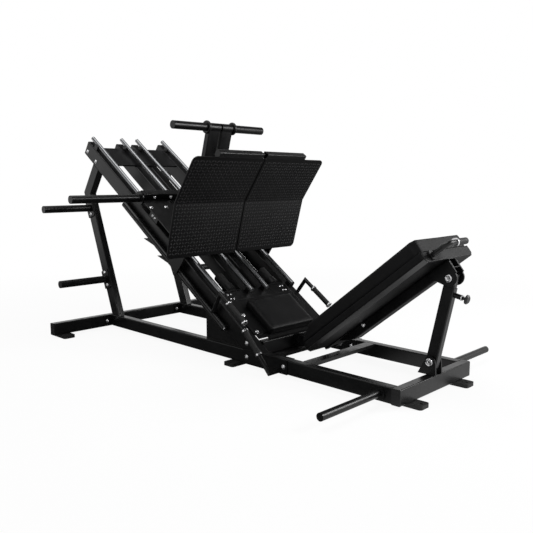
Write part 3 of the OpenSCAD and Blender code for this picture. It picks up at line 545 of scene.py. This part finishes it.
def add_frame_bolts():
    bm = bmesh.new()
    for sign in (1, -1):
        flip = Matrix.Scale(sign, 4, (0, 1, 0))
        outward = []
        for d, n in RAIL_BOLTS:
            outward.append(ON_RAIL @ Vector((d, -RAIL_FACE, n)))
        for x in SPLICE_BOLTS:
            outward.append(MACHINE @ Vector((x, -SPLICE_FACE, BASE_MID)))
        for z in STORAGE_ZS:
            for along in (-FLANGE_BOLT, FLANGE_BOLT):
                x = UPRIGHT_FOOT[0] + (z - UPRIGHT_FOOT[1]) * math.tan(UPRIGHT_LEAN)
                lean_x = x + along * math.sin(UPRIGHT_LEAN)
                lean_z = z + along * math.cos(UPRIGHT_LEAN)
                outward.append(MACHINE @ Vector((lean_x, -FLANGE_FACE, lean_z)))
        inward = [ON_RAIL @ Vector((RAIL_INNER_BOLT[0], -RAIL_INNER, RAIL_INNER_BOLT[1]))]
        for x in SPLICE_INNER_BOLTS:
            inward.append(MACHINE @ Vector((x, -SPLICE_INNER, BASE_MID)))
        forward = [MACHINE @ Vector((REAR_FLANGE, -y, BASE_MID)) for y in REAR_FLANGE_YS]
        upward = []
        if sign == 1:
            upward = [ON_RAIL @ Vector((d, -y, SEAT_PLATE_TOP)) for d, y in SEAT_BOLTS]
        small = [ON_RAIL @ Vector((d, -y, LOW_TUBE_TOP)) for d, y in LOW_TUBE_BOLTS]
        square_up = ON_RAIL.to_3x3() @ Vector((0, 0, 1))
        groups = ((outward, Vector((0, -1, 0))), (inward, Vector((0, 1, 0))),
                  (forward, Vector((1, 0, 0))), (upward, square_up))
        for spots, normal in groups:
            for spot in spots:
                add_bolt(bm, flip @ spot, flip.to_3x3() @ normal, BOLT * MM)
        for spot in small:
            add_bolt(bm, flip @ spot, square_up, SCREW * MM, washer=False)
    obj = add_mesh("frame_bolt_heads", bm, Matrix.Identity(4), chrome, "frame")
    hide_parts("frame_bolts")


def add_carriage_bolts():
    up = ON_RAIL.to_3x3() @ Vector((0, 0, 1))
    down = ON_RAIL.to_3x3() @ Vector((1, 0, 0))
    for side, sign in SIDES:
        bm = bmesh.new()
        for y in BEAM_YS:
            add_bolt(bm, ON_RAIL @ Vector((BEAM_FRONT, sign * y, BEAM_MID)), down, BOLT * MM)
        for d, y in DECK_BOLTS:
            add_bolt(bm, ON_RAIL @ Vector((d, sign * y, DECK_TOP)), up, BOLT * MM)
        for d, n in BLOCK_BOLTS:
            add_bolt(bm, ON_RAIL @ Vector((d, sign * BLOCK_FACE, n)), (0, sign, 0), SCREW * MM)
        body = f"{side}_carriage"
        add_mesh(f"{side}_carriage_bolts", bm, Matrix.Identity(4), chrome, body)


def add_backrest_bolts():
    bm = bmesh.new()
    for sign in (1, -1):
        spot = ON_BACK @ Vector((BACK_BOLT[0], sign * BACK_TUBE_FACE, BACK_BOLT[1]))
        add_bolt(bm, spot, (0, sign, 0), BOLT * MM)
    add_mesh("backrest_tube_bolts", bm, Matrix.Identity(4), chrome, "backrest")


# Turned caps with hex sockets over the plain ends of the pins

HINGE = (1707.549, 138.893)
STRUT_FOOT = (2370, 165)
HEAD_PIN = (797, -53)
LOCK_ENDS = ((-312.3, -1), (892.3, 1))
LOCK_AXIS = (354, 868)
HINGE_FACE = 58.3
HINGE_CAP_R = 11.9
STRUT_FOOT_FACE = 32
HEAD_FACE = 38
STRUT_CAP_R = 18.5
STRUT_CAP_H = 9
LOCK_CAP_R = 12.8
CAP_H = 6
CAP_SKIN = 0.4


def add_pin_cap(bm, place, radius, height):
    """Rounded cap that covers a pin head of the given size, its z along the pin's outward way."""
    r = radius + CAP_SKIN
    h = height + CAP_SKIN
    dome = [(r, 0.05), (r, h - 1.6), (r - 0.5, h - 0.6), (r - 1.6, h)]
    socket = [(0.45 * r, h), (0.43 * r, h - 0.2), (0.43 * r, 0.35 * h)]
    add_lathe(bm, place, dome + socket, steps=36, hex_from=len(dome))


def add_pin_caps():
    frame_caps = bmesh.new()
    back_caps = bmesh.new()
    for sign in (-1, 1):
        out = (0, sign, 0)
        hinge = MACHINE @ axes((HINGE[0], sign * HINGE_FACE, HINGE[1]), out)
        add_pin_cap(frame_caps, hinge, HINGE_CAP_R, CAP_H)
        foot = MACHINE @ axes((STRUT_FOOT[0], sign * STRUT_FOOT_FACE, STRUT_FOOT[1]), out)
        add_pin_cap(frame_caps, foot, STRUT_CAP_R, STRUT_CAP_H)
        head = ON_BACK @ axes((HEAD_PIN[0], sign * HEAD_FACE, HEAD_PIN[1]), out)
        add_pin_cap(back_caps, head, STRUT_CAP_R, STRUT_CAP_H)
        for d, way in LOCK_ENDS:
            spot = ON_RAIL @ Vector((d, sign * LOCK_AXIS[0], LOCK_AXIS[1]))
            place = axes(spot, ON_RAIL.to_3x3() @ Vector((way, 0, 0))) @ TO_METRES
            add_pin_cap(frame_caps, place, LOCK_CAP_R, CAP_H)
    add_mesh("frame_pin_caps", frame_caps, Matrix.Identity(4), chrome, "frame")
    add_mesh("backrest_pin_caps", back_caps, Matrix.Identity(4), chrome, "backrest")


add_frame_bolts()
add_carriage_bolts()
add_backrest_bolts()
add_pin_caps()


# Bright collars on the lock handles' grips

RING_DS = (847, 1003)
HANDLE_Y = 370
HANDLE_N = 1028
COLLAR_L = 10
COLLAR_R = 19.5
COLLAR_BORE = 12.6
COLLAR_SKIN = 0.4
COLLAR_RIM = 1.2


def add_lock_collars():
    r = COLLAR_R + COLLAR_SKIN
    low = -COLLAR_SKIN
    high = COLLAR_L + COLLAR_SKIN
    rim = COLLAR_RIM
    profile = [(COLLAR_BORE, low), (r - rim, low), (r, low + rim),
               (r, high - rim), (r - rim, high), (COLLAR_BORE, high)]
    for side, sign in SIDES:
        bm = bmesh.new()
        for d in RING_DS:
            place = axes((d, sign * HANDLE_Y, HANDLE_N), (1, 0, 0))
            add_lathe(bm, place, profile, steps=40)
        add_mesh(f"{side}_lock_collars", bm, ON_RAIL, chrome, f"{side}_lock")


add_lock_collars()


# Bright ring at the end of the pull pin's housing

STRUT_LEAN = math.radians(11.729)
PIN_UP = 354.1
PIN_RING = (67, 73.4)
PIN_RING_R = 14.5
PIN_RING_BORE = 9
PIN_RING_RIM = 0.8


def add_pin_ring():
    foot = Matrix.Translation((STRUT_FOOT[0], 0, STRUT_FOOT[1]))
    lean = Matrix.Rotation(STRUT_LEAN, 4, "Y")
    place = MACHINE @ foot @ lean @ axes((0, 0, PIN_UP), (1, 0, 0))
    low, high = PIN_RING
    r = PIN_RING_R
    rim = PIN_RING_RIM
    profile = [(PIN_RING_BORE, low), (r - rim, low), (r, low + rim),
               (r, high - rim), (r - rim, high), (PIN_RING_BORE, high)]
    bm = bmesh.new()
    add_lathe(bm, place, profile, steps=40)
    add_mesh("pull_pin_ring", bm, Matrix.Identity(4), chrome, "strut")


add_pin_ring()


# Raised bars of the tread, in rows that turn left and right by turns

STUD_PITCH = 21
STUD_L = 20
STUD_W = 6.5
STUD_H = 1.4
STUD_SUNK = 0.4
STUD_TURN = math.radians(45)
PLATE_OUT = 546
PLATE_IN = 4
PLATE_MARGIN = 12
TREAD_SHORT = 10


def stud_outline(end, shoulder, wide):
    return [(-end, 0), (-shoulder, -wide), (shoulder, -wide),
            (end, 0), (shoulder, wide), (-shoulder, wide)]


def add_stud(bm, place):
    half = STUD_L / 2
    wide = STUD_W / 2
    base = stud_outline(half, half * 0.5, wide)
    top = stud_outline(half * 0.55, half * 0.35, wide * 0.4)
    under = [bm.verts.new(place @ Vector((x, y, -STUD_SUNK))) for x, y in base]
    over = [bm.verts.new(place @ Vector((x, y, STUD_H))) for x, y in top]
    for k in range(len(base)):
        bm.faces.new((under[k - 1], under[k], over[k], over[k - 1]))
    bm.faces.new(over)
    bm.faces.new(under[::-1])


STAY_D = 316
PLATE_T = 6
BEND_N = 1343
PLATE_UPPER = 316
PLATE_LOWER = 333
PLATE_BEND = math.radians(20)
PLATE_CORNER = 32

# Directions along the plate's two faces, away from the bend, and out of them
UPPER_UP = Vector((0, 0, 1))
UPPER_OUT = Vector((1, 0, 0))
LOWER_UP = Vector((math.sin(PLATE_BEND), 0, -math.cos(PLATE_BEND)))
LOWER_OUT = Vector((math.cos(PLATE_BEND), 0, math.sin(PLATE_BEND)))


def on_face(origin, up, out):
    """Frame of a flat face: x across the machine, y along up, z along out."""
    return Matrix.Translation(origin) @ Matrix((Vector((0, 1, 0)), up, out)).transposed().to_4x4()


def tread_face(bm, origin, up, out, length):
    """Rows of studs on a flat face: up runs along it from the bend, out is its normal."""
    face = on_face(origin, up, out)
    rows = int((length - 2 * PLATE_MARGIN) // STUD_PITCH)
    across = PLATE_OUT - PLATE_IN - 2 * PLATE_MARGIN
    cols = int(across // STUD_PITCH)
    first_x = -PLATE_OUT + PLATE_MARGIN + (across - cols * STUD_PITCH) / 2
    for i in range(rows + 1):
        for j in range(cols + 1):
            x = first_x + j * STUD_PITCH
            y = PLATE_MARGIN + i * STUD_PITCH
            past_x = PLATE_CORNER - (x + PLATE_OUT)
            past_y = PLATE_CORNER - (length - y)
            if min(past_x, past_y) > 0 and math.hypot(past_x, past_y) > PLATE_CORNER - PLATE_MARGIN:
                continue
            turn = STUD_TURN if (i + j) % 2 else -STUD_TURN
            add_stud(bm, face @ Matrix.Translation((x, y, 0)) @ Matrix.Rotation(turn, 4, "Z"))


def add_treads():
    for side, sign in SIDES:
        bm = bmesh.new()
        front = Vector((STAY_D + PLATE_T, 0, BEND_N + PLATE_T * math.tan(PLATE_BEND / 2)))
        tread_face(bm, front, UPPER_UP, UPPER_OUT, PLATE_UPPER)
        tread_face(bm, front, LOWER_UP, LOWER_OUT, PLATE_LOWER - TREAD_SHORT)
        place = ON_RAIL @ Matrix.Scale(-sign, 4, (0, 1, 0))
        body = f"{side}_carriage"
        # The raised bars carry the painted highlight coat
        add_mesh(f"{side}_foot_plate_tread", bm, place, bar_highlight_coat, body, smooth=False)


add_treads()


# Folded inner edges of the foot plates, which close the view between them

LIP_DEEP = 14
LIP_T = 3
LIP_SHORT = 8
LIP_SUNK = 0.5


def add_lip(bm, origin, up, out, length):
    """Thin strip behind a flat face, along its inner edge."""
    strip = bmesh.new()
    add_box(strip, (-PLATE_IN - LIP_T, 0, -LIP_DEEP), (-PLATE_IN, length, 0))
    bmesh.ops.transform(strip, matrix=on_face(origin, up, out), verts=strip.verts)
    add_copy(bm, strip)


def add_lips():
    for side, sign in SIDES:
        bm = bmesh.new()
        bend = Vector((STAY_D + LIP_SUNK, 0, BEND_N))
        add_lip(bm, bend, UPPER_UP, UPPER_OUT, PLATE_UPPER - LIP_SHORT)
        add_lip(bm, bend, LOWER_UP, LOWER_OUT, PLATE_LOWER - LIP_SHORT)
        place = ON_RAIL @ Matrix.Scale(-sign, 4, (0, 1, 0))
        body = f"{side}_carriage"
        add_mesh(f"{side}_foot_plate_lip", bm, place, tread, body, smooth=False)


add_lips()


# Stage: camera, floor and light

CAMERA_AT = (2.8040, -2.7671, 1.0437)
CAMERA_LENS = 43.203
CAMERA_TURN = math.radians(44.28)
CAMERA_DIP = math.radians(7.62)

# Fades as start, end, first value and last value
SHADOW_FADE = (1.4, 4.5, 0.92, 1.0)
# The fades below set the floor's brightness as glossy rays see it: painted shade and painted light in
# reflections
SIDE_FADE = (-0.5, 1.6, 0.05, 0.2)
FAR_FADE = (3.0, 8.0, 0.0, 1.0)
FRONT_FADE = (1.0, 1.35, 0.0, 1.0)
BETWEEN_FADE = (0.33, 0.40, 1.0, 0.0)
UNDER_FADE = (0.6, 0.9, 0.0, 1.0)
CEILING_FADE = (0.42, 0.62, 1.0, 0.06)
FLOOR_HALF = 30
FLOOR_GREY = (0.86, 0.86, 0.86, 1)


def add_camera():
    data = bpy.data.cameras.new("camera")
    data.lens = CAMERA_LENS
    data.sensor_width = 36
    data.sensor_fit = "HORIZONTAL"
    data.clip_end = 60
    obj = bpy.data.objects.new("camera", data)
    obj.location = CAMERA_AT
    obj.rotation_euler = (math.pi / 2 - CAMERA_DIP, 0, CAMERA_TURN)
    bpy.context.scene.collection.objects.link(obj)
    bpy.context.scene.camera = obj


def link_math(tree, kind, a, b):
    node = tree.nodes.new("ShaderNodeMath")
    node.operation = kind
    for place, value in zip(node.inputs, (a, b)):
        if isinstance(value, float):
            place.default_value = value
        else:
            tree.links.new(value, place)
    return node.outputs[0]


def link_fade(tree, value, start, end, first, last):
    node = tree.nodes.new("ShaderNodeMapRange")
    node.interpolation_type = "SMOOTHSTEP"
    node.inputs["From Min"].default_value = start
    node.inputs["From Max"].default_value = end
    node.inputs["To Min"].default_value = first
    node.inputs["To Max"].default_value = last
    tree.links.new(value, node.inputs["Value"])
    return node.outputs["Result"]


def link_mix(tree, share, a, b):
    node = tree.nodes.new("ShaderNodeMix")
    tree.links.new(share, node.inputs["Factor"])
    for place, value in (("A", a), ("B", b)):
        if isinstance(value, float):
            node.inputs[place].default_value = value
        else:
            tree.links.new(value, node.inputs[place])
    return node.outputs["Result"]


def add_floor():
    """White floor that keeps a soft shadow; to glossy rays it shows painted shade, dark beside the
    object and white in front, under the backrest and far off.
    """
    mesh = bpy.data.meshes.new("floor")
    half = FLOOR_HALF
    corners = [(-half, -half, 0), (half, -half, 0), (half, half, 0), (-half, half, 0)]
    mesh.from_pydata(corners, [], [(0, 1, 2, 3)])
    obj = bpy.data.objects.new("floor", mesh)
    bpy.context.scene.collection.objects.link(obj)
    mat = bpy.data.materials.new("pale_floor")
    mat.use_nodes = True
    tree = mat.node_tree
    shader = tree.nodes["Principled BSDF"]
    shader.inputs["Base Color"].default_value = FLOOR_GREY
    shader.inputs["Roughness"].default_value = 0.9
    shader.inputs["Specular IOR Level"].default_value = 0.0
    path = tree.nodes.new("ShaderNodeLightPath")
    spot = tree.nodes.new("ShaderNodeNewGeometry").outputs["Position"]
    split = tree.nodes.new("ShaderNodeSeparateXYZ")
    tree.links.new(spot, split.inputs[0])
    reach = tree.nodes.new("ShaderNodeVectorMath")
    reach.operation = "LENGTH"
    tree.links.new(spot, reach.inputs[0])
    shadow_share = link_fade(tree, reach.outputs["Value"], *SHADOW_FADE)
    glossy = path.outputs["Is Glossy Ray"]
    through = path.outputs["Is Transmission Ray"]
    straight = link_math(tree, "MAXIMUM", path.outputs["Is Camera Ray"], through)
    shown = link_math(tree, "MULTIPLY", straight, shadow_share)
    share = link_math(tree, "MAXIMUM", shown, glossy)
    # Painted shade and painted light in reflections: glossy rays see the floor dark beside the object,
    # and white in front, under the backrest and far off
    painted_side_shade = link_fade(tree, split.outputs["Y"], *SIDE_FADE)
    far_white = link_fade(tree, reach.outputs["Value"], *FAR_FADE)
    in_front = link_fade(tree, split.outputs["X"], *FRONT_FADE)
    beside = link_math(tree, "ABSOLUTE", split.outputs["Y"], 0.0)
    between = link_fade(tree, beside, *BETWEEN_FADE)
    ahead = link_fade(tree, split.outputs["X"], *UNDER_FADE)
    under_back = link_math(tree, "MULTIPLY", between, ahead)
    near_white = link_math(tree, "MAXIMUM", in_front, under_back)
    near = link_math(tree, "MAXIMUM", painted_side_shade, near_white)
    painted_mirror_shade = link_math(tree, "MAXIMUM", near, far_white)
    glow = tree.nodes.new("ShaderNodeEmission")
    tree.links.new(link_mix(tree, glossy, 1.0, painted_mirror_shade), glow.inputs["Strength"])
    mix = tree.nodes.new("ShaderNodeMixShader")
    tree.links.new(share, mix.inputs["Fac"])
    tree.links.new(shader.outputs[0], mix.inputs[1])
    tree.links.new(glow.outputs[0], mix.inputs[2])
    tree.links.new(mix.outputs[0], tree.nodes["Material Output"].inputs["Surface"])
    mesh.materials.append(mat)


def add_world():
    """White walls all round and a dark ceiling."""
    world = bpy.data.worlds.new("studio")
    bpy.context.scene.world = world
    world.use_nodes = True
    tree = world.node_tree
    back = tree.nodes["Background"]
    back.inputs["Color"].default_value = (1, 1, 1, 1)
    split = tree.nodes.new("ShaderNodeSeparateXYZ")
    tree.links.new(tree.nodes.new("ShaderNodeTexCoord").outputs["Generated"], split.inputs[0])
    walls = link_fade(tree, split.outputs["Z"], *CEILING_FADE)
    tree.links.new(walls, back.inputs["Strength"])


def add_light(name, at, aim, size, power):
    data = bpy.data.lights.new(name, "AREA")
    data.shape = "RECTANGLE"
    data.size = size[0]
    data.size_y = size[1]
    data.energy = power
    obj = bpy.data.objects.new(name, data)
    obj.location = at
    away = Vector(aim) - Vector(at)
    obj.rotation_euler = away.to_track_quat("-Z", "Y").to_euler()
    obj.visible_camera = False
    bpy.context.scene.collection.objects.link(obj)


add_camera()
add_floor()
add_world()
add_light("top_light", at=(-0.3, -0.6, 4.2), aim=(0, 0, 0.4), size=(4, 3), power=120)
add_light("front_light", at=(3.7, 2.5, 2.4), aim=(0.8, 0, 0.4), size=(1.8, 1.6), power=160)

bpy.context.scene.view_settings.view_transform = "Standard"
